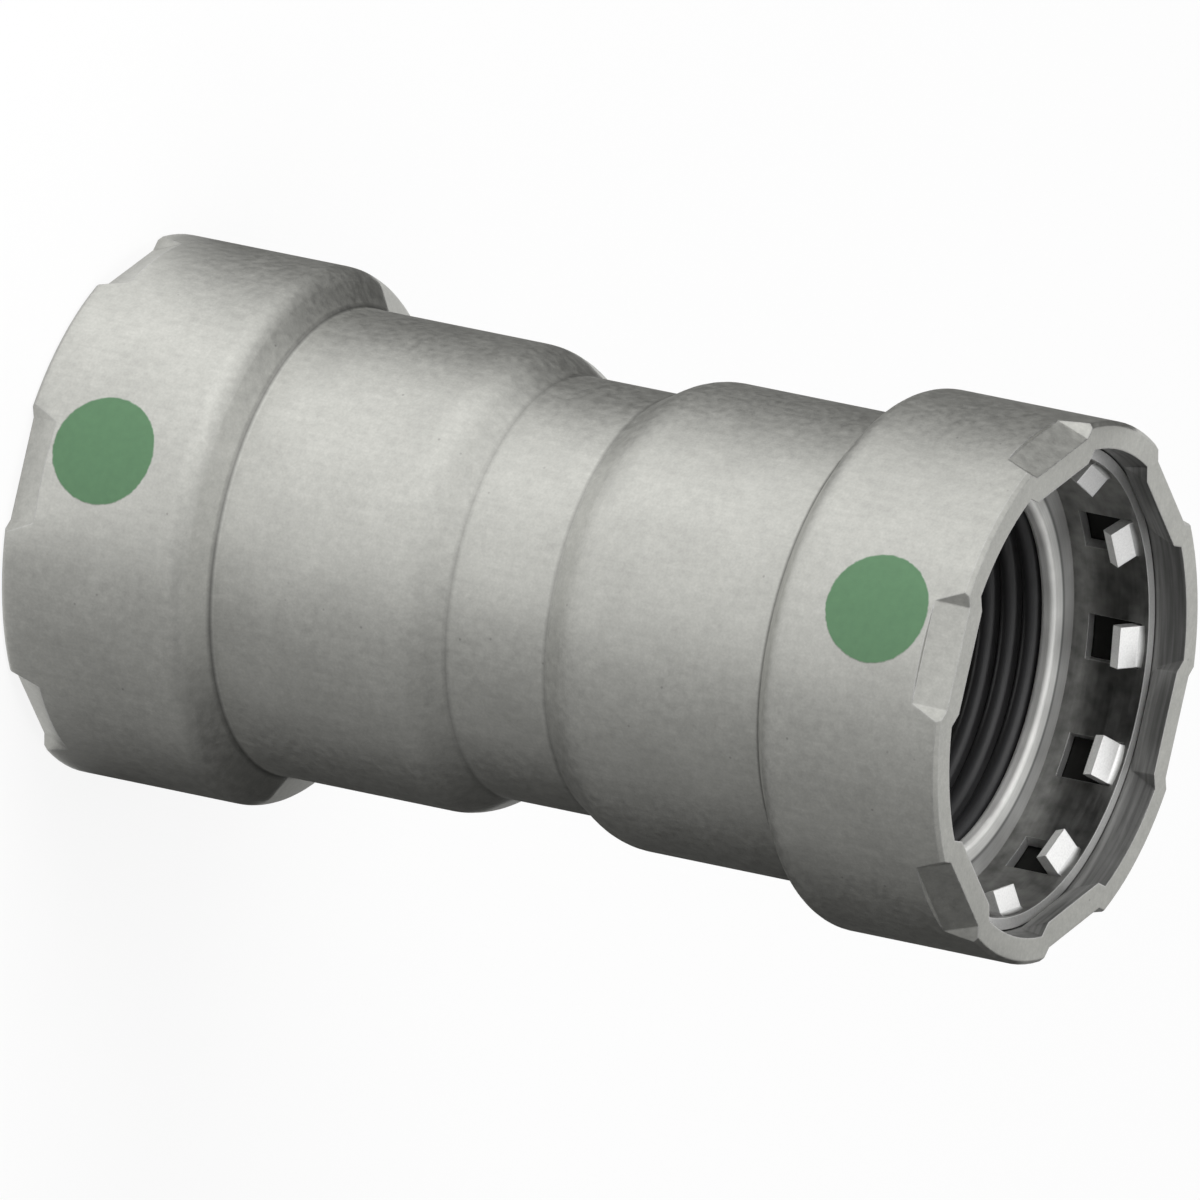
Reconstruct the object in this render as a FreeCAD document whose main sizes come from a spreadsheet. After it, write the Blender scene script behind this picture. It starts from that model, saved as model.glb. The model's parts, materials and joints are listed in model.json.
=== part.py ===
"""Straight press coupling for steel pipe, standing on the rim of one socket.

A formed steel body holds the same three rings in each socket, stacked from the pipe guide
outwards: a rubber sealing element, a separator ring and a toothed grip ring. Six crimps
round each rim keep the stack in. Millimetres and degrees.
"""

import FreeCAD, Part
import math
import os
import types

import Sketcher

# Driving sizes: name, value, what it is

SIZES = (
    ("pipe_diameter", 26.9, "outside of the steel pipe that each socket takes"),
    ("pipe_play", 0.8, "pipe guide diameter less pipe diameter"),
    ("insertion_depth", 30.75, "rim to where the pipe stop begins"),
    ("stop_gap", 16.0, "between the beginnings of the two pipe stops"),
    ("stop_diameter", 24.8, "bore through the waist"),
    ("guide_wall", 3.5, "wall of the body over the pipe guides"),
    ("waist_wall", 3.25, "wall of the waist between the sockets"),
    ("waist_length", 8.2, "straight part of the waist, corner to corner"),
    ("waist_angle", 31.0, "slope beside the waist, against the axis"),
    ("chamber_depth", 4.15, "pipe guide to chamber wall, on the radius"),
    ("ring_wall", 2.0, "wall of each socket ring"),
    ("shoulder_angle", 45.0, "slope inside the shoulder, from seat to chamber"),
    ("shoulder_slope", 56.0, "slope outside, from pipe guide to socket ring"),
    ("seat_width", 1.75, "flat seat behind the sealing element"),
    ("rim_bevel", 0.3, "bevel of the outer rim edge"),
    ("shoulder_top_round", 2.0, "outer shoulder edge radius"),
    ("shoulder_foot_round", 0.4, "outer shoulder foot radius"),
    ("waist_edge_round", 5.0, "radius where the waist slope begins"),
    ("waist_foot_round", 0.8, "radius where the waist slope ends"),
    ("crimp_count", 6, "crimps round each rim"),
    ("crimp_length", 2.4, "crimp, along the axis from the rim"),
    ("crimp_width", 9.8, "crimp, across at the ring's surface"),
    ("crimp_flat_width", 7.6, "flat floor of a crimp, across"),
    ("crimp_depth", 1.35, "how far a crimp's middle is pushed in at the rim"),
    ("crimp_turn", 27.5, "first crimp's direction about the axis"),
    ("stack_clearance", 0.1, "round the three rings, at the socket wall"),
    ("grip_play", 0.15, "grip ring to crimps, along the axis"),
    ("grip_length", 6.2, "grip ring, along the axis"),
    ("grip_sheet", 0.9, "sheet that the grip ring is stamped from"),
    ("window_count", 12, "windows in the grip ring, one tooth each"),
    ("window_width", 3.4, "window, across"),
    ("window_length", 4.4, "window, along the axis up to the tooth's root"),
    ("window_margin", 0.55, "sheet left between tooth roots and mouth"),
    ("tooth_width", 3.1, "tooth, across"),
    ("tooth_lean", 25.0, "tooth off the radius, towards the pipe guide"),
    ("tooth_clearance", 1.35, "tooth tip to pipe guide, on the radius"),
    ("tooth_bend", 0.3, "length of the bend beside a tooth's root"),
    ("grip_turn", 15.0, "first window's direction in the upper socket"),
    ("separator_thickness", 1.2, "separator ring, along the axis"),
    ("separator_clearance", 0.15, "separator bore to pipe guide, on the radius"),
    ("separator_round", 0.4, "edge radius of the separator bore"),
    ("seal_length", 5.9, "sealing element, along the axis"),
    ("lip_count", 3, "lips in the sealing element"),
    ("lip_pitch", 1.8, "lip to lip"),
    ("lip_radius", 0.8, "half-round section of a lip"),
    ("lip_clearance", 0.05, "lip crest to pipe guide, on the radius"),
    ("lip_margin", 0.9, "first lip's middle to the separator"),
)

SHEET = "Sizes"
ENDS = ("upper", "lower")
PLACE_TOLERANCE = 1e-4
RUN_SHARE = 0.45  # of a straight run, at most, goes to the rounding at one of its ends


class Size:
    """A number kept together with the sheet formula that it comes from."""

    def __init__(self, value, formula):
        self.value = value
        self.formula = formula

    def __add__(self, other):
        other = as_size(other)
        return Size(self.value + other.value, f"({self.formula} + {other.formula})")

    def __sub__(self, other):
        other = as_size(other)
        return Size(self.value - other.value, f"({self.formula} - {other.formula})")

    def __mul__(self, other):
        other = as_size(other)
        return Size(self.value * other.value, f"({self.formula} * {other.formula})")

    def __truediv__(self, other):
        other = as_size(other)
        return Size(self.value / other.value, f"({self.formula} / {other.formula})")

    def __neg__(self):
        return Size(-self.value, f"(-1 * {self.formula})")


def as_size(item):
    return item if isinstance(item, Size) else Size(item, str(item))


def tangent(angle):
    return Size(math.tan(math.radians(angle.value)), f"tan({angle.formula})")


def sine(angle):
    return Size(math.sin(math.radians(angle.value)), f"sin({angle.formula})")


def cosine(angle):
    return Size(math.cos(math.radians(angle.value)), f"cos({angle.formula})")


def other_leg(longest, leg):
    """The second short side of a right-angled triangle."""
    square = longest * longest - leg * leg
    return Size(math.sqrt(square.value), f"sqrt({square.formula})")


def smallest(*sizes):
    formulas = "; ".join(size.formula for size in sizes)
    return Size(min(size.value for size in sizes), f"min({formulas})")


def fill_sheet(doc):
    """Write the driving sizes into the sheet and give each back as a Size."""
    sheet = doc.addObject("Spreadsheet::Sheet", SHEET)
    for row, (name, value, note) in enumerate(SIZES, start=1):
        sheet.set(f"A{row}", name)
        sheet.set(f"B{row}", str(value))
        sheet.set(f"C{row}", note)
        sheet.setAlias(f"B{row}", name)
    doc.recompute()
    named = {name: Size(float(sheet.get(name)), f"{SHEET}.{name}") for name, _, _ in SIZES}
    return types.SimpleNamespace(**named)


# PartDesign helpers

def new_body(doc, name):
    body = doc.addObject("PartDesign::Body", name)
    body.Label = name
    return body


def origin_item(body, role):
    return next(item for item in body.Origin.OriginFeatures if item.Role == role)


def outline(body, name, plane, corners, height=None):
    """A closed sketch with straight sides, each corner placed by two sheet formulas."""
    sketch = body.newObject("Sketcher::SketchObject", name)
    sketch.AttachmentSupport = (origin_item(body, plane), [""])
    sketch.MapMode = "FlatFace"
    if height is not None:
        sketch.setExpression("AttachmentOffset.Base.z", height.formula)
    points = [FreeCAD.Vector(across.value, along.value, 0) for across, along in corners]
    ends = points[1:] + points[:1]
    sketch.addGeometry([Part.LineSegment(a, b) for a, b in zip(points, ends)], False)
    for side in range(len(points)):
        following = (side + 1) % len(points)
        sketch.addConstraint(Sketcher.Constraint("Coincident", side, 2, following, 1))
    for side, corner in enumerate(corners):
        for kind, size in zip(("DistanceX", "DistanceY"), corner):
            number = sketch.addConstraint(Sketcher.Constraint(kind, side, 1, size.value))
            sketch.setExpression(f"Constraints[{number}]", size.formula)
    return sketch


def revolved(body, name, corners):
    """Turn an outline of (radius, height) corners about the body's axis."""
    feature = body.newObject("PartDesign::Revolution", name)
    feature.Profile = outline(body, f"{name}_outline", "XZ_Plane", corners)
    feature.ReferenceAxis = (feature.Profile[0], ["V_Axis"])
    feature.Angle = 360
    return feature


def extruded(body, kind, name, profile, length, symmetric=False, backwards=False):
    feature = body.newObject(f"PartDesign::{kind}", name)
    feature.Profile = profile
    feature.setExpression("Length", length.formula)
    feature.SideType = "Symmetric" if symmetric else "One side"
    feature.Reversed = backwards
    return feature


def lofted(body, kind, name, profile, end_profile):
    """A straight-sided loft from one outline to another."""
    feature = body.newObject(f"PartDesign::{kind}Loft", name)
    feature.Profile = profile
    feature.Sections = [end_profile]
    feature.Ruled = True
    return feature


def ring_pattern(body, name, originals, count):
    """Repeat features evenly all round the body's axis."""
    pattern = body.newObject("PartDesign::PolarPattern", name)
    pattern.Originals = originals
    pattern.Axis = (origin_item(body, "Z_Axis"), [""])
    pattern.Angle = 360
    pattern.setExpression("Occurrences", count.formula)
    body.Tip = pattern
    return pattern


def hoop_edges(shape, hoops):
    """Names of the edges that run round the axis at the given (radius, height) places."""
    names = []
    for number, edge in enumerate(shape.Edges, start=1):
        if not isinstance(edge.Curve, Part.Circle):
            continue
        radius, height = edge.Curve.Radius, edge.Curve.Center.z
        for hoop_radius, hoop_height in hoops:
            off = max(abs(radius - hoop_radius.value), abs(height - hoop_height.value))
            if off < PLACE_TOLERANCE:
                names.append(f"Edge{number}")
    return names


def softened(body, kind, name, base, hoops, size):
    """Fillet or chamfer the hoop edges of a finished feature."""
    body.Document.recompute()
    feature = body.newObject(f"PartDesign::{kind}", name)
    feature.Base = (base, hoop_edges(base.Shape, hoops))
    feature.setExpression("Radius" if kind == "Fillet" else "Size", size.formula)
    return feature


def both_ways(*hoops):
    """The same hoops above and below the middle of the fitting."""
    return list(hoops) + [(radius, -height) for radius, height in hoops]


def stand(body, end, dim, turn=None):
    """Place what is modelled from the fitting's middle upwards into its own end."""
    if end == "upper":
        facing = FreeCAD.Rotation(FreeCAD.Vector(0, 0, 1), turn.value if turn else 0)
    else:
        facing = FreeCAD.Rotation(FreeCAD.Vector(1, 0, 0), 180)
    body.Placement = FreeCAD.Placement(FreeCAD.Vector(), facing)
    body.setExpression("Placement.Base.z", half_length(dim).formula)
    if turn:
        body.setExpression("Placement.Rotation.Angle", turn.formula)


# Places that several pieces share: radii from the axis, heights from the fitting's middle

def guide_radius(dim):
    return (dim.pipe_diameter + dim.pipe_play) / 2


def chamber_radius(dim):
    return guide_radius(dim) + dim.chamber_depth


def ring_radius(dim):
    return chamber_radius(dim) + dim.ring_wall


def stack_radius(dim):
    return chamber_radius(dim) - dim.stack_clearance


def half_length(dim):
    return dim.stop_gap / 2 + dim.insertion_depth


def grip_front(dim):
    return half_length(dim) - dim.crimp_length - dim.grip_play


def separator_front(dim):
    return grip_front(dim) - dim.grip_length


def seal_front(dim):
    return separator_front(dim) - dim.separator_thickness


def seal_seat(dim):
    return seal_front(dim) - dim.seal_length


def seat_radius(dim):
    return guide_radius(dim) + dim.seat_width


def chamber_foot(dim):
    """Height at which the socket's inner cone has opened to the full chamber."""
    return seal_seat(dim) + (chamber_radius(dim) - seat_radius(dim)) / tangent(dim.shoulder_angle)


# The pieces

def make_body(doc, dim):
    """The one-piece steel body: revolved section, rounded corners, crimped rims."""
    body = new_body(doc, "fitting_body")
    ring = ring_radius(dim)
    middle = guide_radius(dim) + dim.guide_wall
    stop = dim.stop_diameter / 2
    waist = stop + dim.waist_wall
    rim = half_length(dim)

    shoulder_top = chamber_foot(dim) - dim.ring_wall * tangent(dim.shoulder_angle / 2)
    shoulder_rise = (ring - middle) / tangent(dim.shoulder_slope)
    shoulder_foot = shoulder_top - shoulder_rise
    waist_foot = dim.waist_length / 2
    waist_edge = waist_foot + (middle - waist) / tangent(dim.waist_angle)
    stop_edge = dim.stop_gap / 2
    stop_foot = stop_edge - (guide_radius(dim) - stop) / tangent(dim.waist_angle)

    outside = [
        (waist, waist_foot),
        (middle, waist_edge),
        (middle, shoulder_foot),
        (ring, shoulder_top),
        (ring, rim),
    ]
    inside = [
        (chamber_radius(dim), rim),
        (chamber_radius(dim), chamber_foot(dim)),
        (seat_radius(dim), seal_seat(dim)),
        (guide_radius(dim), seal_seat(dim)),
        (guide_radius(dim), stop_edge),
        (stop, stop_foot),
    ]
    upper_half = outside + inside
    lower_half = [(radius, -height) for radius, height in reversed(upper_half)]
    wall = revolved(body, "wall", upper_half + lower_half)

    waist_slope = (middle - waist) / sine(dim.waist_angle)
    waist_runs = (dim.waist_angle, waist_slope, dim.waist_length)
    shoulder_face = (ring - middle) / sine(dim.shoulder_slope)
    shoulder_runs = (dim.shoulder_slope, shoulder_face)
    roundings = (
        ("waist_feet", waist, waist_foot, bend(dim.waist_foot_round, *waist_runs)),
        ("waist_edges", middle, waist_edge, bend(dim.waist_edge_round, *waist_runs)),
        ("shoulder_feet", middle, shoulder_foot,
            bend(dim.shoulder_foot_round, *shoulder_runs)),
        ("shoulder_tops", ring, shoulder_top,
            bend(dim.shoulder_top_round, *shoulder_runs)),
    )
    last = wall
    for name, radius, height, rounding in roundings:
        hoops = both_ways((radius, height))
        last = softened(body, "Fillet", name, last, hoops, rounding)
    softened(body, "Chamfer", "rim_bevels", last, both_ways((ring, rim)), dim.rim_bevel)

    for end in ENDS:
        crimp_rim(body, dim, end)
    stand(body, "upper", dim, dim.crimp_turn)
    return body


def bend(wanted, turn, *runs):
    """A corner's radius: the wanted one, or what the straight runs beside it leave room for."""
    room = smallest(*runs) * RUN_SHARE
    return smallest(wanted, room / tangent(turn / 2))


def crimp_rim(body, dim, end):
    """Push flats into one rim: each leans in towards the rim, and its wall bulges inwards."""
    rim, start = half_length(dim), half_length(dim) - dim.crimp_length
    if end == "lower":
        rim, start = -rim, -start
    floor = ring_radius(dim) - dim.crimp_depth
    flush = other_leg(ring_radius(dim), dim.crimp_flat_width / 2)
    surface = other_leg(ring_radius(dim), dim.crimp_width / 2)
    spread = (dim.crimp_width - dim.crimp_flat_width) / 2 / (surface - floor)
    in_wall = (chamber_radius(dim) * 2 + floor) / 3
    outside = ring_radius(dim) + dim.crimp_depth

    def flat(name, height, near, far):
        """Section of a crimp: a flat at the near radius, sides that spread to the far one."""
        half = dim.crimp_flat_width / 2
        wide = half + (far - near) * spread
        corners = [(near, -half), (near, half), (far, wide), (far, -wide)]
        return outline(body, f"{end}_{name}", "XY_Plane", corners, height)

    bulge = lofted(body, "Additive", f"{end}_bulge",
                   flat("bulge_at_rim", rim, floor - dim.ring_wall, in_wall),
                   flat("bulge_start", start, flush - dim.ring_wall, in_wall))
    ring_pattern(body, f"{end}_bulges", [bulge], dim.crimp_count)
    dent = lofted(body, "Subtractive", f"{end}_dent",
                  flat("dent_at_rim", rim, floor, outside),
                  flat("dent_start", start, flush, outside))
    ring_pattern(body, f"{end}_dents", [dent], dim.crimp_count)


def make_grip_ring(doc, dim, end):
    """A stamped hoop whose teeth are lanced from its windows and bent in to the pipe."""
    body = new_body(doc, f"{end}_grip_ring")
    outer = stack_radius(dim)
    inner = outer - dim.grip_sheet
    front = grip_front(dim)
    back = separator_front(dim)
    revolved(body, "hoop", [(inner, back), (outer, back), (outer, front), (inner, front)])

    root = front - dim.window_margin
    half_window = dim.window_width / 2
    opening = outline(body, "window_outline", "YZ_Plane", [
        (-half_window, root - dim.window_length),
        (half_window, root - dim.window_length),
        (half_window, root),
        (-half_window, root),
    ])
    window = extruded(body, "Pocket", "window", opening, outer + dim.grip_sheet, backwards=True)

    side = outline(body, "tooth_outline", "XZ_Plane", tooth_corners(dim, inner, outer, root))
    tooth = extruded(body, "Pad", "tooth", side, dim.tooth_width, symmetric=True)
    ring_pattern(body, "windows", [window], dim.window_count)
    ring_pattern(body, "teeth", [tooth], dim.window_count)
    stand(body, end, dim, dim.grip_turn if end == "upper" else None)
    return body


def tooth_corners(dim, inner, outer, root):
    """Side view of one tooth: it leaves the sheet at its root and leans to its tip."""
    along = sine(dim.tooth_lean)
    inwards = cosine(dim.tooth_lean)
    tip = guide_radius(dim) + dim.tooth_clearance
    back = other_leg(outer, dim.tooth_width / 2)
    front_tip = (tip, root - (inner - tip) / inwards * along)
    back_tip = (tip + dim.grip_sheet * along, front_tip[1] - dim.grip_sheet * inwards)
    back_root = (back, back_tip[1] + (back - back_tip[0]) / inwards * along)
    anchor = root + dim.tooth_bend
    bend_end = (inner - dim.tooth_bend * inwards, root - dim.tooth_bend * along)
    return [(inner, anchor), bend_end, front_tip, back_tip, back_root, (back, anchor)]


def make_separator_ring(doc, dim, end):
    """A flat steel ring with a rounded bore, between grip ring and sealing element."""
    body = new_body(doc, f"{end}_separator_ring")
    bore = guide_radius(dim) + dim.separator_clearance
    outer = stack_radius(dim)
    front = separator_front(dim)
    back = seal_front(dim)
    disc = revolved(body, "disc", [(bore, back), (outer, back), (outer, front), (bore, front)])
    hoops = [(bore, front), (bore, back)]
    softened(body, "Fillet", "bore_edges", disc, hoops, dim.separator_round)
    stand(body, end, dim)
    return body


def make_sealing_element(doc, dim, end):
    """A rubber ring that fills the foot of the chamber, with half-round lips inside."""
    body = new_body(doc, f"{end}_sealing_element")
    crest = guide_radius(dim) + dim.lip_clearance
    groove = crest + dim.lip_radius
    outer = stack_radius(dim)
    back_outer = seat_radius(dim) - dim.stack_clearance
    revolved(body, "ring", [
        (groove, seal_seat(dim)),
        (back_outer, seal_seat(dim)),
        (outer, chamber_foot(dim)),
        (outer, seal_front(dim)),
        (groove, seal_front(dim)),
    ])
    lip = body.newObject("PartDesign::Revolution", "lip")
    lip.Profile = lip_outline(body, dim, groove)
    lip.ReferenceAxis = (lip.Profile[0], ["V_Axis"])
    lip.Angle = 360
    lips = body.newObject("PartDesign::LinearPattern", "lips")
    lips.Originals = [lip]
    lips.Direction = (origin_item(body, "Z_Axis"), [""])
    lips.Reversed = True
    lips.setExpression("Length", (dim.lip_pitch * (dim.lip_count - 1)).formula)
    lips.setExpression("Occurrences", dim.lip_count.formula)
    body.Tip = lips
    stand(body, end, dim)
    return body


def lip_outline(body, dim, groove):
    """A circle centred on the ring's inner face, so half of it stands proud."""
    height = seal_front(dim) - dim.lip_margin
    sketch = body.newObject("Sketcher::SketchObject", "lip_outline")
    sketch.AttachmentSupport = (origin_item(body, "XZ_Plane"), [""])
    sketch.MapMode = "FlatFace"
    middle = FreeCAD.Vector(groove.value, height.value, 0)
    sketch.addGeometry(Part.Circle(middle, FreeCAD.Vector(0, 0, 1), dim.lip_radius.value), False)
    places = (("DistanceX", groove), ("DistanceY", height))
    for kind, size in places:
        number = sketch.addConstraint(Sketcher.Constraint(kind, 0, 3, size.value))
        sketch.setExpression(f"Constraints[{number}]", size.formula)
    number = sketch.addConstraint(Sketcher.Constraint("Radius", 0, dim.lip_radius.value))
    sketch.setExpression(f"Constraints[{number}]", dim.lip_radius.formula)
    return sketch


def check(doc, pieces):
    """Stop before anything is written if a feature or a piece has failed."""
    for item in doc.Objects:
        if {"Invalid", "Error"} & set(item.State):
            raise RuntimeError(f"{item.Label} failed: {item.State}")
    for piece in pieces:
        shape = piece.Shape
        if shape.isNull() or not shape.isValid() or len(shape.Solids) != 1:
            raise RuntimeError(f"{piece.Label} is not one valid solid")


def main():
    doc = FreeCAD.newDocument("press_coupling")
    dim = fill_sheet(doc)
    pieces = [make_body(doc, dim)]
    for end in ENDS:
        pieces.append(make_grip_ring(doc, dim, end))
        pieces.append(make_separator_ring(doc, dim, end))
        pieces.append(make_sealing_element(doc, dim, end))
    doc.recompute()
    check(doc, pieces)
    os.makedirs("parts", exist_ok=True)
    for piece in pieces:
        piece.Shape.exportStep(f"parts/{piece.Label}.step")


main()
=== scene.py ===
import json
import math

import bmesh
import bpy
from bpy.props import FloatProperty, FloatVectorProperty, IntProperty, PointerProperty
from mathutils import Matrix, Vector


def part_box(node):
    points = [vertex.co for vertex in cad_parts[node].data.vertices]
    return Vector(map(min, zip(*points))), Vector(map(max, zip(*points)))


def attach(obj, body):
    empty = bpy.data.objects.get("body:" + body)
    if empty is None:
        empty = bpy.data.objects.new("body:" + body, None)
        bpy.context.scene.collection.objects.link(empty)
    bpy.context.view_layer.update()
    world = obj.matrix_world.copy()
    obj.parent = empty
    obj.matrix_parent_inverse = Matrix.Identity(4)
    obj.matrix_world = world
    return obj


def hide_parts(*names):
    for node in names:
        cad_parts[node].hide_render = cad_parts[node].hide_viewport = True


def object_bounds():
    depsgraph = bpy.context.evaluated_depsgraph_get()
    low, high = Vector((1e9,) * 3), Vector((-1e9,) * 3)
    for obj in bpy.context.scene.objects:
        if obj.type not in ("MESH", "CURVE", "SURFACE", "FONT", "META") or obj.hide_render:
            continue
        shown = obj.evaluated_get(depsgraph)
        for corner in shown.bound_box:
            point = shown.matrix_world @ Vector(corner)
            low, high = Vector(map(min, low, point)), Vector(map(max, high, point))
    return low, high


bl_info = {
    "name": "Press coupling",
    "version": (1, 0, 0),
    "blender": (4, 5, 0),
    "location": "View3D > Sidebar > Coupling",
    "description": "Plating, paint dots, ring finishes, rubber seals and studio of a press coupling",
    "category": "Object",
}

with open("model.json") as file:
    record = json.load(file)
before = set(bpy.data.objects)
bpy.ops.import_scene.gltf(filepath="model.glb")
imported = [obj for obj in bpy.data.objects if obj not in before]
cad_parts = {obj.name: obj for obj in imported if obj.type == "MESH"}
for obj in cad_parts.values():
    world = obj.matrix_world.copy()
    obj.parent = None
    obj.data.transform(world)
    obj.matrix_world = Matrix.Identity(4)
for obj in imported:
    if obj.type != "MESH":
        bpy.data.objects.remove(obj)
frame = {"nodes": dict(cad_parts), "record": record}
MODEL_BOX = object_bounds()

MM = 0.001
ENDS = ("upper", "lower")
MIDDLE = (MODEL_BOX[0].z + MODEL_BOX[1].z) / 2
RING_RADIUS = (MODEL_BOX[1].x - MODEL_BOX[0].x) / 2
GUIDE_RADIUS = frame["record"]["mounts"][0]["dims"]["r_mm"] * MM
CRIMP_REACH = 2.4  # along the axis from the rim, in millimetres
HOOP_BORE = 16.95  # inside radius of a grip ring's hoop, in millimetres
SHADE_LINE_RADIUS = 15.45  # painted dark line round a separator ring's bore, painted shade outside it, in millimetres
SEAL_FOOT = 1.65 * MM  # pipe guide to the seal's outside at its back, on the radius
SEAL_EDGE = 0.25 * MM  # how far a seal's edges are cut off
CREASES = ((4.1, 0.30, 0.32), (22.7, 0.60, 0.24))  # painted shade along the concave creases: from the middle, darkness, width, in millimetres

SPECK_COLOR = (0.10, 0.10, 0.095)
# Painted shade: the dark colour laid along the concave creases
CREASE_SHADE_COLOR = (0.05, 0.05, 0.047)
WORN_PLATING = (0.60, 0.60, 0.62)
WORN_HOOP = (0.66, 0.66, 0.65)
WORN_SEPARATOR = (0.72, 0.72, 0.70)
# Painted shade on the separator rings: outside the dark line, and the line itself
SEPARATOR_SHADE_COLOR = (0.20, 0.20, 0.197)
SEPARATOR_SHADE_LINE_COLOR = (0.10, 0.10, 0.10)
# Painted highlight: the lighter colour on the crests of the seal's lips
CREST_HIGHLIGHT_COLOR = (0.05, 0.05, 0.052)

# Tones round the fitting, as azimuth in degrees and brightness: 0 is the photo's side, -90 is -X
SCREEN_TONES = (
    (-120, 0.32), (-98, 0.62), (-72, 1.48), (-45, 1.54), (-20, 1.20), (8, 1.32),
    (18, 0.66), (40, 0.47), (60, 0.39), (90, 0.31), (120, 0.18), (150, 0.38), (170, 0.70),
)
NEAR_TONES = (
    (-120, 0.12), (-98, 0.16), (-84, 0.46), (-66, 1.40), (-45, 1.50), (-20, 1.20), (8, 1.32),
    (18, 0.66), (40, 0.47), (60, 0.39), (80, 0.20), (96, 0.06), (120, 0.06), (150, 0.38), (170, 0.70),
)
NEAR_FADE = (34 * MM, 58 * MM)  # off the axis, where the near tones give way to the others
SCREEN_STRENGTH = 2.0
SLOPE_SHARE = 0.72  # of the strength, left at the top of the fade
SLOPE_FADE = (28 * MM, 70 * MM)  # heights on the screen
CEILING_TONE = 0.95
OUTLINE_STEPS = (  # off the middle along the axis, in from the socket ring's outside, in millimetres
    (24.6, 0), (22.8, 2.6), (7.1, 2.6), (4.1, 4.3),
)
EDGE_CARDS = (("upper_edge_flag", -99), ("lower_edge_flag", 96))  # name, azimuth in degrees
EDGE_CARD_TONE = 0.01
PICTURE_SHIFT = (0.0004, -0.00196)  # in picture widths, from the photo's framing


# Settings


class BodyFinish(bpy.types.PropertyGroup):
    """Zinc-nickel plating of the body."""

    color: FloatVectorProperty(
        name="Plating", description="Colour of the plated steel outside",
        subtype="COLOR", size=3, default=(0.43, 0.43, 0.405), min=0, max=1)
    # A darker, streaky colour on the faces turned towards the axis
    inside_color: FloatVectorProperty(
        name="Inside", description="Colour of the duller plating inside the rims",
        subtype="COLOR", size=3, default=(0.24, 0.24, 0.235), min=0, max=1)
    # Painted shade: the near-black colour laid inside the body behind the rings
    deep_shade_color: FloatVectorProperty(
        name="Deep inside", description="Colour of the oiled plating behind the rings",
        subtype="COLOR", size=3, default=(0.022, 0.022, 0.021), min=0, max=1)
    roughness: FloatProperty(
        name="Roughness", description="Middle roughness of the plating",
        subtype="FACTOR", default=0.52, min=0, max=1)
    edge_round: FloatProperty(
        name="Edge round", description="How far the look of a sharp edge is softened",
        unit="LENGTH", subtype="DISTANCE", precision=5, default=0.18 * MM, min=0)


class PaintDots(bpy.types.PropertyGroup):
    """The round paint mark on each socket ring."""

    color: FloatVectorProperty(
        name="Paint", description="Colour of the dots",
        subtype="COLOR", size=3, default=(0.081, 0.188, 0.090), min=0, max=1)
    radius: FloatProperty(
        name="Dot radius", description="Radius of a dot",
        unit="LENGTH", subtype="DISTANCE", precision=5, default=4.05 * MM, min=0)
    from_middle: FloatProperty(
        name="From the middle", description="Dot's centre to the middle of the fitting, along the axis",
        unit="LENGTH", subtype="DISTANCE", precision=5, default=32.0 * MM, min=0)
    direction: FloatProperty(
        name="Direction", description="Dot's direction about the axis, from +X towards +Y",
        unit="ROTATION", subtype="ANGLE", default=math.radians(260.5))


class RingFinish(bpy.types.PropertyGroup):
    """Grip rings and separator rings."""

    # Painted light and shade: the hoop's colour is dark as shaded, the teeth's colour bright as lit
    shaded_hoop_color: FloatVectorProperty(
        name="Grip hoop", description="Colour of the grip ring's tempered sheet",
        subtype="COLOR", size=3, default=(0.27, 0.27, 0.263), min=0, max=1)
    lit_tooth_color: FloatVectorProperty(
        name="Teeth", description="Colour of the bright bent teeth",
        subtype="COLOR", size=3, default=(0.88, 0.88, 0.87), min=0, max=1)
    separator_color: FloatVectorProperty(
        name="Separator", description="Colour of the separator rings",
        subtype="COLOR", size=3, default=(0.72, 0.72, 0.70), min=0, max=1)
    grip_roughness: FloatProperty(
        name="Grip roughness", description="Middle roughness of the grip rings",
        subtype="FACTOR", default=0.34, min=0, max=1)
    separator_roughness: FloatProperty(
        name="Separator roughness", description="Middle roughness of the separator rings",
        subtype="FACTOR", default=0.60, min=0, max=1)


class SealShape(bpy.types.PropertyGroup):
    """The rubber sealing elements."""

    color: FloatVectorProperty(
        name="Rubber", description="Colour of the rubber",
        subtype="COLOR", size=3, default=(0.018, 0.018, 0.019), min=0, max=1)
    lips: IntProperty(
        name="Lips", description="Round lips inside each seal", default=3, min=1, max=8)
    lip_pitch: FloatProperty(
        name="Lip pitch", description="Lip to lip along the axis",
        unit="LENGTH", subtype="DISTANCE", precision=5, default=1.8 * MM, min=0)
    lip_height: FloatProperty(
        name="Lip height", description="How far a lip stands out of the groove beside it",
        unit="LENGTH", subtype="DISTANCE", precision=5, default=0.8 * MM, min=0)
    lip_clearance: FloatProperty(
        name="Lip clearance", description="Lip crest to pipe guide, on the radius",
        unit="LENGTH", subtype="DISTANCE", precision=5, default=0.05 * MM, min=0)
    lip_margin: FloatProperty(
        name="Lip margin", description="First lip's middle to the seal's front",
        unit="LENGTH", subtype="DISTANCE", precision=5, default=0.9 * MM, min=0)
    segments: IntProperty(
        name="Segments", description="Steps round the seal", default=144, min=24, max=512)


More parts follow.
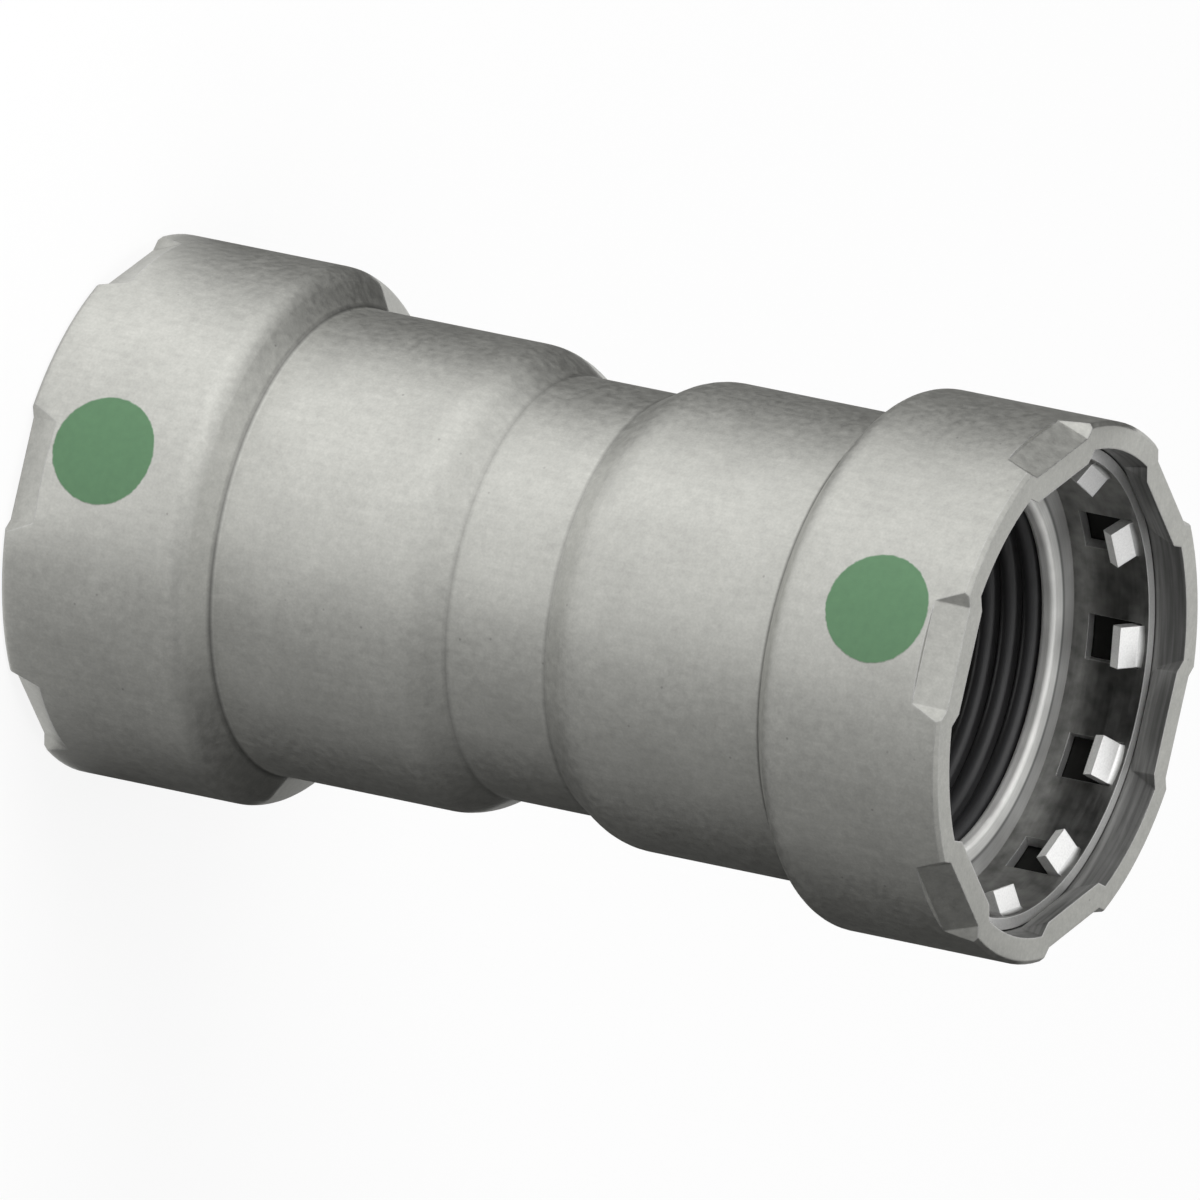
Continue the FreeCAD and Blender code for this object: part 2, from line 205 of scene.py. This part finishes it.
class Studio(bpy.types.PropertyGroup):
    """Camera, lamps and floor."""

    lens: FloatProperty(
        name="Lens", description="Focal length in millimetres, long as in the photo",
        default=1498.0, min=50, max=5000)
    distance: FloatProperty(
        name="Camera distance", description="Camera to the middle of the fitting",
        unit="LENGTH", subtype="DISTANCE", default=3.628, min=0.1)
    elevation: FloatProperty(
        name="Camera elevation", description="Camera above the horizon",
        unit="ROTATION", subtype="ANGLE", default=math.radians(26.752))
    roll: FloatProperty(
        name="Camera roll", description="Turn of the camera, so that the fitting lies in the picture",
        unit="ROTATION", subtype="ANGLE", default=math.radians(101.549))
    key_power: FloatProperty(
        name="Key", description="Power of the main lamp",
        unit="POWER", default=8.0, min=0)
    fill_power: FloatProperty(
        name="Fill", description="Power of the front lamp",
        unit="POWER", default=1.5, min=0)
    top_power: FloatProperty(
        name="Top", description="Power of the lamp over the floor",
        unit="POWER", default=4.5, min=0)
    sky: FloatProperty(
        name="Sky", description="Strength of the even light from all round",
        default=0.30, min=0)
    floor_color: FloatVectorProperty(
        name="Floor", description="Colour of the floor",
        subtype="COLOR", size=3, default=(0.86, 0.86, 0.86), min=0, max=1)


class CouplingSettings(bpy.types.PropertyGroup):
    """All that a user would change."""

    body: PointerProperty(type=BodyFinish)
    dots: PointerProperty(type=PaintDots)
    rings: PointerProperty(type=RingFinish)
    seals: PointerProperty(type=SealShape)
    studio: PointerProperty(type=Studio)


# Shader nodes in short


def add(tree, kind, inputs=(), **settings):
    """A shader node, each input set to a value or joined to another node's output."""
    node = tree.nodes.new(f"ShaderNode{kind}")
    for name, value in settings.items():
        setattr(node, name, value)
    for name, value in dict(inputs).items():
        if isinstance(value, bpy.types.NodeSocket):
            tree.links.new(value, node.inputs[name])
        else:
            node.inputs[name].default_value = value
    return node


def worked_out(tree, operation, *values):
    return add(tree, "Math", dict(enumerate(values)), operation=operation).outputs[0]


def ramped(tree, value, low, high, to_low=0.0, to_high=1.0):
    """The value brought from the range low..high to to_low..to_high."""
    inputs = {"Value": value, "From Min": low, "From Max": high, "To Min": to_low, "To Max": to_high}
    return add(tree, "MapRange", inputs).outputs[0]


def mixed(tree, share, first, second):
    """Second over first, by share. Colours are sequences or colour outputs."""
    node = add(tree, "Mix", {0: share}, data_type="RGBA")
    for socket, value in ((node.inputs[6], first), (node.inputs[7], second)):
        if isinstance(value, bpy.types.NodeSocket):
            tree.links.new(value, socket)
        else:
            socket.default_value = (*value, 1)
    return node.outputs[2]


def blended(tree, share, first, second):
    """Second over first, by share, for numbers."""
    node = add(tree, "Mix", {0: share}, data_type="FLOAT")
    for socket, value in ((node.inputs[2], first), (node.inputs[3], second)):
        if isinstance(value, bpy.types.NodeSocket):
            tree.links.new(value, socket)
        else:
            socket.default_value = value
    return node.outputs[0]


def new_material(name):
    material = bpy.data.materials.new(name)
    material.use_nodes = True
    material.node_tree.nodes.clear()
    return material, material.node_tree


def in_millimetres(tree):
    """Each point's place on the fitting, in millimetres."""
    place = add(tree, "TexCoord").outputs["Object"]
    return add(tree, "VectorMath", {0: place, "Scale": 1 / MM}, operation="SCALE").outputs[0]


def off_axis(tree, parts):
    """Distance from the fitting's axis, from a place split into its parts."""
    across = add(tree, "CombineXYZ", {0: parts[0], 1: parts[1]}).outputs[0]
    return add(tree, "VectorMath", {0: across}, operation="LENGTH").outputs["Value"]


def noise(tree, place, per_mm, detail, stretch=(1, 1, 1)):
    """Cloudy noise with about per_mm features a millimetre, drawn out where stretch is small."""
    scaled = add(tree, "Mapping", {"Vector": place, "Scale": stretch}).outputs[0]
    inputs = {"Vector": scaled, "Scale": per_mm, "Detail": detail}
    return add(tree, "TexNoise", inputs).outputs[0]


def toned(tree, color, share_of_change, pattern):
    """A colour made lighter and darker by a pattern round 0.5."""
    change = ramped(tree, pattern, 0.25, 0.75, 1 - share_of_change, 1 + share_of_change)
    return add(tree, "VectorMath", {0: color, "Scale": change}, operation="SCALE").outputs[0]


def color_node(tree, color):
    return add(tree, "CombineXYZ", {0: color[0], 1: color[1], 2: color[2]}).outputs[0]


def softened_edges(tree, radius):
    """A normal that rounds sharp edges, and a mask of where it does."""
    rounded = add(tree, "Bevel", {"Radius": radius}, samples=6).outputs[0]
    plain = add(tree, "NewGeometry").outputs["Normal"]
    turn = add(tree, "VectorMath", {0: rounded, 1: plain}, operation="DOT_PRODUCT").outputs["Value"]
    return rounded, ramped(tree, turn, 0.99, 0.80)


def raised(tree, height, normal, depth, strength):
    inputs = {"Height": height, "Normal": normal, "Distance": depth, "Strength": strength}
    return add(tree, "Bump", inputs).outputs[0]


def finished(tree, inputs):
    """The surface shader and the output."""
    shader = add(tree, "BsdfPrincipled", inputs)
    add(tree, "OutputMaterial", {"Surface": shader.outputs[0]})


def plain_light(name, tone):
    """A material that shines evenly and is lit by nothing."""
    material, tree = new_material(name)
    light = add(tree, "Emission", {"Color": (1, 1, 1, 1), "Strength": tone})
    add(tree, "OutputMaterial", {"Surface": light.outputs[0]})
    return material


def seen_as_backdrop(tree):
    """1 for rays from the camera, a mirror or glass, 0 for the soft rays that light things."""
    rays = add(tree, "LightPath").outputs
    seen = worked_out(tree, "MAXIMUM", rays["Is Camera Ray"], rays["Is Glossy Ray"])
    return worked_out(tree, "MAXIMUM", seen, rays["Is Transmission Ray"])


# Materials


def facing_outwards(tree):
    """How far a surface faces away from the fitting's axis, from -1 to 1."""
    outwards = add(tree, "VectorMath", {0: add(tree, "TexCoord").outputs["Object"], 1: (1, 1, 0)},
                   operation="MULTIPLY").outputs[0]
    direction = add(tree, "VectorMath", {0: outwards}, operation="NORMALIZE").outputs[0]
    normal = add(tree, "TexCoord").outputs["Normal"]
    return add(tree, "VectorMath", {0: normal, 1: direction}, operation="DOT_PRODUCT").outputs["Value"]


def from_middle(tree, place):
    height = add(tree, "SeparateXYZ", {0: place}).outputs[2]
    return worked_out(tree, "ABSOLUTE", worked_out(tree, "SUBTRACT", height, MIDDLE / MM))


def from_rim(tree, place):
    return worked_out(tree, "SUBTRACT", MIDDLE / MM, from_middle(tree, place))


def dot_mask(tree, place, dots):
    """1 inside the two paint dots, with a slightly uneven edge."""
    centre = (
        RING_RADIUS * math.cos(dots.direction) / MM,
        RING_RADIUS * math.sin(dots.direction) / MM,
        dots.from_middle / MM,
    )
    parts = add(tree, "SeparateXYZ", {0: place}).outputs
    folded = add(tree, "CombineXYZ", {0: parts[0], 1: parts[1], 2: from_middle(tree, place)}).outputs[0]
    apart = add(tree, "VectorMath", {0: folded, 1: centre}, operation="DISTANCE").outputs["Value"]
    wobble, blur = 0.16, 0.06
    uneven = worked_out(tree, "MULTIPLY", noise(tree, place, 2.2, 1.0), wobble)
    edge = worked_out(tree, "ADD", apart, uneven)
    radius = dots.radius / MM + wobble / 2
    return ramped(tree, edge, radius + blur, radius - blur)


def plated_steel(finish, dots):
    """Satin grey zinc-nickel plating with a paint dot on each ring, and painted shade in the creases and
    deep inside.
    """
    material, tree = new_material("zinc_nickel_plating")
    place = in_millimetres(tree)
    clouds = noise(tree, place, 0.22, 4.0)
    mottle = noise(tree, place, 1.6, 5.0)
    grain = noise(tree, place, 5.5, 2.0)
    drawn = noise(tree, place, 3.0, 2.0, stretch=(1, 1, 0.06))
    turned = noise(tree, place, 3.0, 2.0, stretch=(0.05, 0.05, 1))
    rounded, edges = softened_edges(tree, finish.edge_round)
    inside = ramped(tree, facing_outwards(tree), -0.15, -0.35)
    outside = worked_out(tree, "SUBTRACT", 1.0, inside)
    dot = worked_out(tree, "MULTIPLY", dot_mask(tree, place, dots), outside)

    color = toned(tree, color_node(tree, finish.color), 0.06, clouds)
    color = toned(tree, color, 0.09, mottle)
    color = toned(tree, color, 0.06, grain)
    color = toned(tree, color, 0.03, drawn)
    specks = add(tree, "TexVoronoi", {"Vector": place, "Scale": 0.55}).outputs
    chosen = ramped(tree, specks["Color"], 0.62, 0.66)
    speck = worked_out(tree, "MULTIPLY", ramped(tree, specks["Distance"], 0.075, 0.03), chosen)
    color = mixed(tree, worked_out(tree, "MULTIPLY", speck, 0.35), color, SPECK_COLOR)
    color = mixed(tree, worked_out(tree, "MULTIPLY", edges, 0.45), color, WORN_PLATING)
    # Painted shade: a thin dark line along each concave crease, where shade falls
    for height, darkness, width in CREASES:
        off = worked_out(tree, "ABSOLUTE", worked_out(tree, "SUBTRACT", from_middle(tree, place), height))
        crease_shade = worked_out(tree, "MULTIPLY", ramped(tree, off, width, 0.0), darkness)
        color = mixed(tree, crease_shade, color, CREASE_SHADE_COLOR)
    inside_tone_with_deep_shade = toned(tree, color_node(tree, finish.inside_color), 0.35, turned)
    # Painted shade: deeper inside than the crimps reach from the rim, the colour fades to near black
    deep_shade = ramped(tree, from_rim(tree, place), CRIMP_REACH, CRIMP_REACH + 0.5)
    inside_tone_with_deep_shade = mixed(tree, deep_shade, inside_tone_with_deep_shade, toned(tree, color_node(tree, finish.deep_shade_color), 0.12, mottle))
    color = mixed(tree, inside, color, inside_tone_with_deep_shade)
    paint = toned(tree, color_node(tree, dots.color), 0.06, mottle)
    color = mixed(tree, dot, color, paint)

    rough = blended(tree, mottle, finish.roughness - 0.09, finish.roughness + 0.09)
    rough = blended(tree, worked_out(tree, "MULTIPLY", edges, 0.5), rough, finish.roughness - 0.14)
    rough = blended(tree, dot, rough, 0.55)
    metal = worked_out(tree, "SUBTRACT", 1.0, dot)

    relief = worked_out(tree, "MULTIPLY_ADD", grain, 0.6, worked_out(tree, "MULTIPLY", turned, 0.4))
    normal = raised(tree, relief, rounded, 0.016 * MM, 0.55)
    normal = raised(tree, dot, normal, 0.04 * MM, 0.6)
    finished(tree, {"Base Color": color, "Metallic": metal, "Roughness": rough, "Normal": normal})
    return material


def grip_steel(rings):
    """Tempered spring steel: the hoop painted dark as shade, its cut edges and bent teeth painted bright as
    lit.
    """
    material, tree = new_material("grip_steel_painted_lit_and_shaded")
    place = in_millimetres(tree)
    rolled = noise(tree, place, 4.0, 3.0, stretch=(0.08, 0.08, 1))
    stains = noise(tree, place, 0.8, 4.0)
    fine = noise(tree, place, 7.0, 2.0)
    rounded, edges = softened_edges(tree, 0.10 * MM)
    radius = off_axis(tree, add(tree, "SeparateXYZ", {0: place}).outputs)
    # Painted light: the bent teeth and the cut edges get a bright colour and the hoop a dark one, as lit
    # and shaded
    bent = ramped(tree, radius, HOOP_BORE, HOOP_BORE - 0.15)
    cut = ramped(tree, worked_out(tree, "ABSOLUTE", facing_outwards(tree)), 0.35, 0.15)
    lit_share = worked_out(tree, "MAXIMUM", bent, worked_out(tree, "MULTIPLY", cut, 0.8))
    hoop = toned(tree, color_node(tree, rings.shaded_hoop_color), 0.35, stains)
    hoop = toned(tree, hoop, 0.10, rolled)
    tooth = toned(tree, color_node(tree, rings.lit_tooth_color), 0.08, fine)
    color = mixed(tree, lit_share, hoop, tooth)
    color = mixed(tree, worked_out(tree, "MULTIPLY", edges, 0.6), color, WORN_HOOP)
    rough = blended(tree, rolled, rings.grip_roughness - 0.08, rings.grip_roughness + 0.10)
    normal = raised(tree, rolled, rounded, 0.012 * MM, 0.6)
    metal = blended(tree, lit_share, 1.0, 0.75)
    finished(tree, {"Base Color": color, "Metallic": metal, "Roughness": rough, "Normal": normal})
    return material


def ring_steel(rings):
    """Turned stainless steel with fine lines round the axis, with painted shade outside a painted dark line
    near its bore.
    """
    material, tree = new_material("turned_ring_steel")
    place = in_millimetres(tree)
    parts = add(tree, "SeparateXYZ", {0: place}).outputs
    radius = off_axis(tree, parts)
    spot = add(tree, "CombineXYZ", {0: radius, 1: parts[2]}).outputs[0]
    lines = noise(tree, spot, 9.0, 3.0)
    smear = noise(tree, place, 0.45, 4.0)
    rounded, edges = softened_edges(tree, 0.08 * MM)
    # Painted shade: the outer face is darker, and step is a painted dark line at the shade line's radius
    outer_shade = worked_out(tree, "MULTIPLY", ramped(tree, radius, SHADE_LINE_RADIUS - 0.15, SHADE_LINE_RADIUS + 0.15), 0.62)
    rising = ramped(tree, radius, SHADE_LINE_RADIUS - 0.25, SHADE_LINE_RADIUS - 0.05)
    falling = ramped(tree, radius, SHADE_LINE_RADIUS + 0.25, SHADE_LINE_RADIUS + 0.05)
    step = worked_out(tree, "MULTIPLY", rising, falling)
    color = mixed(tree, outer_shade, color_node(tree, rings.separator_color), SEPARATOR_SHADE_COLOR)
    color = mixed(tree, worked_out(tree, "MULTIPLY", step, 0.75), color, SEPARATOR_SHADE_LINE_COLOR)
    color = toned(tree, color, 0.10, smear)
    color = toned(tree, color, 0.08, lines)
    color = mixed(tree, worked_out(tree, "MULTIPLY", edges, 0.4), color, WORN_SEPARATOR)
    rough = blended(tree, smear, rings.separator_roughness - 0.07, rings.separator_roughness + 0.09)
    normal = raised(tree, lines, rounded, 0.010 * MM, 0.6)
    finished(tree, {"Base Color": color, "Metallic": 0.6, "Roughness": rough, "Normal": normal})
    return material


def seal_rubber(seals):
    """Black moulded rubber, glossier on the crests of its lips, with a lighter painted highlight there."""
    material, tree = new_material("moulded_seal_rubber")
    place = in_millimetres(tree)
    bloom = noise(tree, place, 0.7, 5.0)
    grain = noise(tree, place, 6.0, 3.0)
    radius = off_axis(tree, add(tree, "SeparateXYZ", {0: place}).outputs)
    crest_at = (GUIDE_RADIUS + seals.lip_clearance) / MM
    crest = ramped(tree, radius, crest_at + 0.45, crest_at)
    color = toned(tree, color_node(tree, seals.color), 0.25, bloom)
    # Painted highlight: the crests of the lips get a lighter colour
    color = mixed(tree, worked_out(tree, "MULTIPLY", crest, 0.5), color, CREST_HIGHLIGHT_COLOR)
    rough = blended(tree, bloom, 0.40, 0.58)
    rough = blended(tree, crest, rough, 0.34)
    normal = raised(tree, grain, add(tree, "NewGeometry").outputs["Normal"], 0.02 * MM, 0.5)
    finished(tree, {"Base Color": color, "Roughness": rough, "Normal": normal, "Specular IOR Level": 0.6})
    return material


def pale_floor(color):
    """A pale floor that reads white to the camera and in the metal, and keeps shadows."""
    material, tree = new_material("pale_floor")
    place = add(tree, "TexCoord").outputs["Object"]
    fibre = add(tree, "TexNoise", {"Vector": place, "Scale": 900.0, "Detail": 3.0}).outputs[0]
    tone = toned(tree, color_node(tree, color), 0.01, fibre)
    relief = raised(tree, fibre, add(tree, "NewGeometry").outputs["Normal"], 0.05 * MM, 0.1)
    matt = add(tree, "BsdfPrincipled", {"Base Color": tone, "Roughness": 0.9, "Normal": relief})
    white = add(tree, "Emission", {"Color": (1, 1, 1, 1), "Strength": 1.0})
    share = worked_out(tree, "MULTIPLY", seen_as_backdrop(tree), 0.86)
    surface = add(tree, "MixShader", {0: share, 1: matt.outputs[0], 2: white.outputs[0]})
    add(tree, "OutputMaterial", {"Surface": surface.outputs[0]})
    return material


def dress(node_name, material):
    """Give a solid of the frame its finish."""
    mesh = frame["nodes"][node_name].data
    mesh.materials.clear()
    mesh.materials.append(material)


# Rubber seals


def lip_heights(seals, front, inwards):
    """Height of each lip's middle, from the front of the seal inwards."""
    return [front + inwards * (seals.lip_margin + number * seals.lip_pitch) for number in range(seals.lips)]


def bore_line(seals, front, back, inwards, steps=56):
    """Radius and height along the seal's bore: round lips with rounded grooves between."""
    crest = GUIDE_RADIUS + seals.lip_clearance
    groove = crest + seals.lip_height
    middles = lip_heights(seals, front, inwards)
    points = []
    for step in range(steps + 1):
        height = front + (back - front) * step / steps
        apart = min(abs(height - middle) for middle in middles) / seals.lip_height
        rise = math.sqrt(max(0.0, 1 - apart * apart)) if apart < 1 else 0.0
        points.append((groove - seals.lip_height * rise, height))
    return points


def seal_section(seals, end):
    """Closed section of one seal, as radius and height, front first."""
    low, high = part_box(f"{end}_sealing_element")
    inwards = -1 if end == "upper" else 1
    front, back = (high.z, low.z) if end == "upper" else (low.z, high.z)
    outer = high.x
    foot = GUIDE_RADIUS + SEAL_FOOT
    cone = outer - foot
    edge = SEAL_EDGE
    bore = bore_line(seals, front, back, inwards)
    bore[0] = (bore[0][0] + edge, front)
    bore[-1] = (bore[-1][0] + edge, back)
    rim = [
        (foot - edge, back),
        (foot + edge * 0.6, back - inwards * edge * 0.6),
        (outer - edge * 0.4, back - inwards * (cone - edge)),
        (outer, back - inwards * (cone + edge)),
        (outer, front + inwards * edge),
        (outer - edge, front),
    ]
    return bore + rim


def turned_mesh(name, section, segments):
    """A closed ring made by turning a section about the fitting's axis."""
    ring = bmesh.new()
    rounds = []
    for step in range(segments):
        angle = 2 * math.pi * step / segments
        across = Vector((math.cos(angle), math.sin(angle), 0))
        corners = [across * radius + Vector((0, 0, height)) for radius, height in section]
        rounds.append([ring.verts.new(corner) for corner in corners])
    for here, there in zip(rounds, rounds[1:] + rounds[:1]):
        for number in range(len(section)):
            after = (number + 1) % len(section)
            ring.faces.new((here[number], here[after], there[after], there[number]))
    bmesh.ops.recalc_face_normals(ring, faces=ring.faces)
    mesh = bpy.data.meshes.new(name)
    ring.to_mesh(mesh)
    ring.free()
    mesh.shade_smooth()
    piece = bpy.data.objects.new(name, mesh)
    bpy.context.scene.collection.objects.link(piece)
    return piece


# Stage


def view_axes(studio):
    """The camera's right, up and forward directions."""
    elevation, roll = studio.elevation, studio.roll
    forward = Vector((0, math.cos(elevation), -math.sin(elevation)))
    level_right = Vector((1, 0, 0))
    level_up = level_right.cross(forward)
    right = math.cos(roll) * level_right + math.sin(roll) * level_up
    return right, right.cross(forward), forward


def stand_at(piece, place, right, up, backward):
    piece.matrix_world = Matrix.Translation(place) @ Matrix((right, up, backward)).transposed().to_4x4()


def place_camera(studio):
    right, up, forward = view_axes(studio)
    data = bpy.data.cameras.new("camera")
    data.lens = studio.lens
    data.sensor_width = 36
    data.clip_start = 0.1
    data.clip_end = 50
    data.shift_x, data.shift_y = PICTURE_SHIFT
    camera = bpy.data.objects.new("camera", data)
    bpy.context.scene.collection.objects.link(camera)
    stand_at(camera, Vector((0, 0, MIDDLE)) - forward * studio.distance, right, up, -forward)
    bpy.context.scene.camera = camera


def place_lamp(name, azimuth, elevation, distance, size, power):
    """A soft lamp that faces the fitting. Azimuth 0 is the photo's side, -90 is -X."""
    across, up = math.radians(azimuth), math.radians(elevation)
    towards = Vector((math.sin(across) * math.cos(up), -math.cos(across) * math.cos(up), math.sin(up)))
    data = bpy.data.lights.new(name, "AREA")
    data.shape = "RECTANGLE"
    data.size, data.size_y = size
    data.energy = power
    lamp = bpy.data.objects.new(name, data)
    bpy.context.scene.collection.objects.link(lamp)
    lamp.location = Vector((0, 0, MIDDLE)) + towards * distance
    lamp.rotation_mode = "QUATERNION"
    lamp.rotation_quaternion = (-towards).to_track_quat("-Z", "Y")
    return lamp


def tones_round(tree, azimuth, tones):
    """A tone that follows the azimuth round the fitting, between (azimuth, tone) stops."""
    ramp = add(tree, "ValToRGB", {0: ramped(tree, azimuth, -math.pi, math.pi)})
    stops = ramp.color_ramp.elements
    while len(stops) < len(tones):
        stops.new(1.0)
    for stop, (degrees, tone) in zip(stops, tones):
        stop.position = (degrees + 180) / 360
        share = tone / SCREEN_STRENGTH
        stop.color = (share, share, share, 1)
    return ramp.outputs[0]


def graded_light(name, tones, near_tones):
    """A light graded round the fitting, with tones of its own close to the lower ring.

    It is weaker above the foot of the screen, where the slopes that face up see it.
    """
    material, tree = new_material(name)
    place = add(tree, "SeparateXYZ", {0: add(tree, "TexCoord").outputs["Object"]}).outputs
    azimuth = worked_out(tree, "ARCTAN2", place[0], worked_out(tree, "MULTIPLY", place[1], -1.0))
    near = ramped(tree, off_axis(tree, place), NEAR_FADE[1], NEAR_FADE[0])
    tone = mixed(tree, near, tones_round(tree, azimuth, tones), tones_round(tree, azimuth, near_tones))
    strength = ramped(tree, place[2], *SLOPE_FADE, SCREEN_STRENGTH, SCREEN_STRENGTH * SLOPE_SHARE)
    light = add(tree, "Emission", {"Color": tone, "Strength": strength})
    add(tree, "OutputMaterial", {"Surface": light.outputs[0]})
    return material


def curved_screen(name, tones, near_tones, radius=120 * MM, height=200 * MM, gap=0.5 * MM, step=4):
    """A curved grey screen with a foot, seen by the metal only. Azimuths as for the lamps."""
    first, last = tones[0][0], tones[-1][0]
    section = ((RING_RADIUS + gap, 0), (radius, 0), (radius, height))
    sheet = bmesh.new()
    rows = []
    for degrees in range(first, last + step, step):
        turn = math.radians(min(degrees, last))
        across = Vector((math.sin(turn), -math.cos(turn), 0))
        rows.append([sheet.verts.new(across * reach + Vector((0, 0, rise))) for reach, rise in section])
    for here, there in zip(rows, rows[1:]):
        for number in range(len(section) - 1):
            sheet.faces.new((here[number], there[number], there[number + 1], here[number + 1]))
    mesh = bpy.data.meshes.new(name)
    sheet.to_mesh(mesh)
    sheet.free()
    mesh.materials.append(graded_light(name, tones, near_tones))
    hide_from_all_but_metal(bpy.data.objects.new(name, mesh))


def edge_card(name, azimuth, height=120 * MM, reach=90 * MM, gap=0.3 * MM):
    """A dark card standing edge-on beside the fitting and following its outline at a small gap.

    It darkens the metal's edges only.
    """
    turn = math.radians(azimuth)
    across = Vector((math.sin(turn), -math.cos(turn), 0))
    foot = RING_RADIUS + gap
    below = [(foot - recess * MM, MIDDLE - off * MM) for off, recess in OUTLINE_STEPS]
    above = [(foot - recess * MM, MIDDLE + off * MM) for off, recess in reversed(OUTLINE_STEPS)]
    outline = [(reach, 0), (foot, 0), *below, *above, (foot, height), (reach, height)]
    mesh = bpy.data.meshes.new(name)
    corners = [across * radius + Vector((0, 0, rise)) for radius, rise in outline]
    mesh.from_pydata(corners, [], [tuple(range(len(outline)))])
    mesh.materials.append(plain_light(name, EDGE_CARD_TONE))
    hide_from_all_but_metal(bpy.data.objects.new(name, mesh))


def grey_ceiling(height=330 * MM, reach=600 * MM):
    """A grey card overhead, seen by the metal only."""
    mesh = bpy.data.meshes.new("ceiling")
    sides = ((-1, -1), (1, -1), (1, 1), (-1, 1))
    mesh.from_pydata([(reach * x, reach * y, height) for x, y in sides], [], [(0, 1, 2, 3)])
    mesh.materials.append(plain_light("ceiling", CEILING_TONE))
    hide_from_all_but_metal(bpy.data.objects.new("ceiling", mesh))


def hide_from_all_but_metal(card):
    """Put a card on the stage where only reflections see it."""
    bpy.context.scene.collection.objects.link(card)
    card.visible_camera = False
    card.visible_diffuse = False
    card.visible_shadow = False


def make_floor(studio):
    bpy.ops.mesh.primitive_plane_add(size=12, location=(0, 0, -0.02 * MM))
    floor = bpy.context.object
    floor.name = "floor"
    floor.data.materials.append(pale_floor(studio.floor_color))


def set_world(studio):
    """Even light from all round, white where the camera or the metal looks past the floor."""
    world = bpy.data.worlds.new("studio")
    bpy.context.scene.world = world
    world.use_nodes = True
    tree = world.node_tree
    tree.nodes.clear()
    strength = blended(tree, seen_as_backdrop(tree), studio.sky, 1.0)
    light = add(tree, "Background", {"Color": (1, 1, 1, 1), "Strength": strength})
    add(tree, "OutputWorld", {"Surface": light.outputs[0]})


# Operators


class COUPLING_OT_finish_body(bpy.types.Operator):
    """Plate the body and paint its two dots"""

    bl_idname = "coupling.finish_body"
    bl_label = "Finish body"

    def execute(self, context):
        settings = context.scene.coupling
        dress("fitting_body", plated_steel(settings.body, settings.dots))
        return {"FINISHED"}


class COUPLING_OT_finish_grip_rings(bpy.types.Operator):
    """Give both grip rings their tempered steel, painted dark on the hoop as shade and bright on the teeth
    as light
    """

    bl_idname = "coupling.finish_grip_rings"
    bl_label = "Finish grip rings"

    def execute(self, context):
        steel = grip_steel(context.scene.coupling.rings)
        for end in ENDS:
            dress(f"{end}_grip_ring", steel)
        return {"FINISHED"}


class COUPLING_OT_finish_separator_rings(bpy.types.Operator):
    """Give both separator rings their turned steel"""

    bl_idname = "coupling.finish_separator_rings"
    bl_label = "Finish separator rings"

    def execute(self, context):
        steel = ring_steel(context.scene.coupling.rings)
        for end in ENDS:
            dress(f"{end}_separator_ring", steel)
        return {"FINISHED"}


class COUPLING_OT_mould_seals(bpy.types.Operator):
    """Mould both rubber seals in place of their plain solids"""

    bl_idname = "coupling.mould_seals"
    bl_label = "Mould seals"

    def execute(self, context):
        seals = context.scene.coupling.seals
        if seals.lip_height <= 0 or seals.lip_pitch <= 0:
            raise RuntimeError("a seal's lips need a height and a pitch above zero")
        rubber = seal_rubber(seals)
        for end in ENDS:
            seal = turned_mesh(f"{end}_rubber_seal", seal_section(seals, end), seals.segments)
            seal.data.materials.append(rubber)
            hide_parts(f"{end}_sealing_element")
            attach(seal, "root")
        return {"FINISHED"}


class COUPLING_OT_build_stage(bpy.types.Operator):
    """Build the pale floor, the soft lamps and the camera"""

    bl_idname = "coupling.build_stage"
    bl_label = "Build stage"

    def execute(self, context):
        studio = context.scene.coupling.studio
        context.scene.view_settings.view_transform = "Standard"
        make_floor(studio)
        set_world(studio)
        place_lamp("key", azimuth=-60, elevation=30, distance=1.0, size=(0.7, 1.0), power=studio.key_power)
        place_lamp("fill", azimuth=5, elevation=45, distance=1.2, size=(0.8, 0.8), power=studio.fill_power)
        top = place_lamp("top", azimuth=0, elevation=85, distance=1.0, size=(0.6, 0.6),
                         power=studio.top_power)
        top.visible_glossy = False
        curved_screen("graded_screen", SCREEN_TONES, NEAR_TONES)
        grey_ceiling()
        for name, azimuth in EDGE_CARDS:
            edge_card(name, azimuth)
        place_camera(studio)
        return {"FINISHED"}


class COUPLING_PT_panel(bpy.types.Panel):
    """The coupling's operators and settings"""

    bl_label = "Press coupling"
    bl_idname = "COUPLING_PT_panel"
    bl_space_type = "VIEW_3D"
    bl_region_type = "UI"
    bl_category = "Coupling"

    def draw(self, context):
        settings = context.scene.coupling
        for operator in OPERATORS:
            self.layout.operator(operator.bl_idname)
        for name in ("body", "dots", "rings", "seals", "studio"):
            box = self.layout.box()
            box.label(text=name.capitalize())
            group = getattr(settings, name)
            for key in group.__annotations__:
                box.prop(group, key)


OPERATORS = (
    COUPLING_OT_finish_body,
    COUPLING_OT_finish_grip_rings,
    COUPLING_OT_finish_separator_rings,
    COUPLING_OT_mould_seals,
    COUPLING_OT_build_stage,
)
CLASSES = (
    BodyFinish, PaintDots, RingFinish, SealShape, Studio, CouplingSettings,
    *OPERATORS, COUPLING_PT_panel,
)


def register():
    for item in CLASSES:
        bpy.utils.register_class(item)
    bpy.types.Scene.coupling = PointerProperty(type=CouplingSettings)


def unregister():
    del bpy.types.Scene.coupling
    for item in reversed(CLASSES):
        bpy.utils.unregister_class(item)


def main():
    register()
    bpy.ops.coupling.finish_body()
    bpy.ops.coupling.finish_grip_rings()
    bpy.ops.coupling.finish_separator_rings()
    bpy.ops.coupling.mould_seals()
    bpy.ops.coupling.build_stage()


if __name__ == "__main__":
    main()
